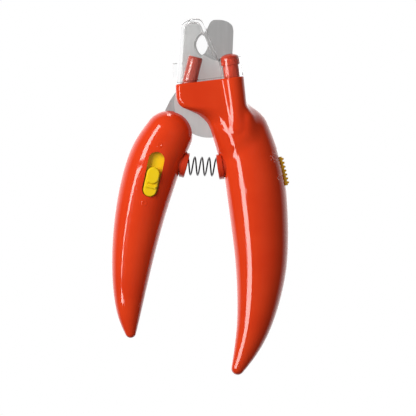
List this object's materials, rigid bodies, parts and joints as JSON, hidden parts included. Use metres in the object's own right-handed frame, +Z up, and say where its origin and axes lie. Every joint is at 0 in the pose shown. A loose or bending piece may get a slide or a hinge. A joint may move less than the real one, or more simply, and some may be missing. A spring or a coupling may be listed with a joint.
{
  "type": "pet nail trimmer",
  "caption": "Scissor-type pet nail trimmer: two horn-shaped handles on a pivot, steel blades with an eye-shaped hole, return spring, slide lock, lamp and hinged clear cover.",
  "frame": {"origin": "where the pivot axis meets the flat back of the head", "axes": "+Z up along the trimmer to the blade tips, +X to the right as seen from the front, -Y to the front, where the clear cover and the lock slider are; the pivot turns about Y"},
  "size_m": [0.0746, 0.0229, 0.1498],
  "materials": {
    "red_plastic": "glossy",
    "yellow_plastic": "satin",
    "blade_steel": "satin ground",
    "blade_steel_dark": "satin ground",
    "hardware_steel": "plated",
    "spring_steel": "blackened",
    "brass": "bright",
    "dark_plastic": "moulded",
    "clear_plastic": "clear polished plastic"
  },
  "bodies": {
    "right_handle": {"right_front_shell": "red_plastic", "right_back_shell": "red_plastic", "battery_door": "red_plastic", "cover_post": "red_plastic", "lamp_barrel": "red_plastic", "spring_cup_right": "red_plastic", "lamp_lead_plus": "red_plastic", "front_blade": "blade_steel", "pivot_bolt": "hardware_steel", "pivot_nut": "hardware_steel", "pivot_washer_front": "hardware_steel", "pivot_washer_rear": "hardware_steel", "right_screw_1": "hardware_steel", "right_screw_2": "hardware_steel", "right_screw_3": "hardware_steel", "button_cell_1": "hardware_steel", "button_cell_2": "hardware_steel", "button_cell_3": "hardware_steel", "return_spring": "spring_steel", "contact_plus": "brass", "contact_minus": "brass", "battery_tray": "dark_plastic", "switch_body": "dark_plastic", "lamp_lead_minus": "dark_plastic", "lamp": "clear_plastic"},
    "left_handle": {"left_front_shell": "red_plastic", "left_back_shell": "red_plastic", "left_screw_1": "hardware_steel", "left_screw_2": "hardware_steel", "left_screw_3": "hardware_steel", "rear_blade": "blade_steel_dark", "spring_cup_left": "red_plastic", "lock_detent_spring": "spring_steel"},
    "lock": {"lock_slider": "yellow_plastic", "lock_bolt": "hardware_steel"},
    "cover": {"nail_cover": "clear_plastic"},
    "light_switch": {"light_switch": "yellow_plastic"}
  },
  "joints": [
    {"name": "handle_pivot", "type": "hinge", "parent": "right_handle", "child": "left_handle", "pos_m": [0, -0.0072, 0], "axis": [0, -1, 0], "range_deg": [0, 13], "deforming": ["return_spring"]},
    {"name": "lock_slide", "type": "slide", "parent": "left_handle", "child": "lock", "axis": [0.2164, 0, 0.9763], "range_m": [0, 0.0063]},
    {"name": "cover_hinge", "type": "hinge", "parent": "right_handle", "child": "cover", "pos_m": [0.00974, -0.0143, 0.0107], "axis": [-0.1219, 0, 0.9925], "range_deg": [0, 110]},
    {"name": "switch_slide", "type": "slide", "parent": "right_handle", "child": "light_switch", "axis": [-0.2224, 0, 0.975], "range_m": [0, 0.003]}
  ]
}
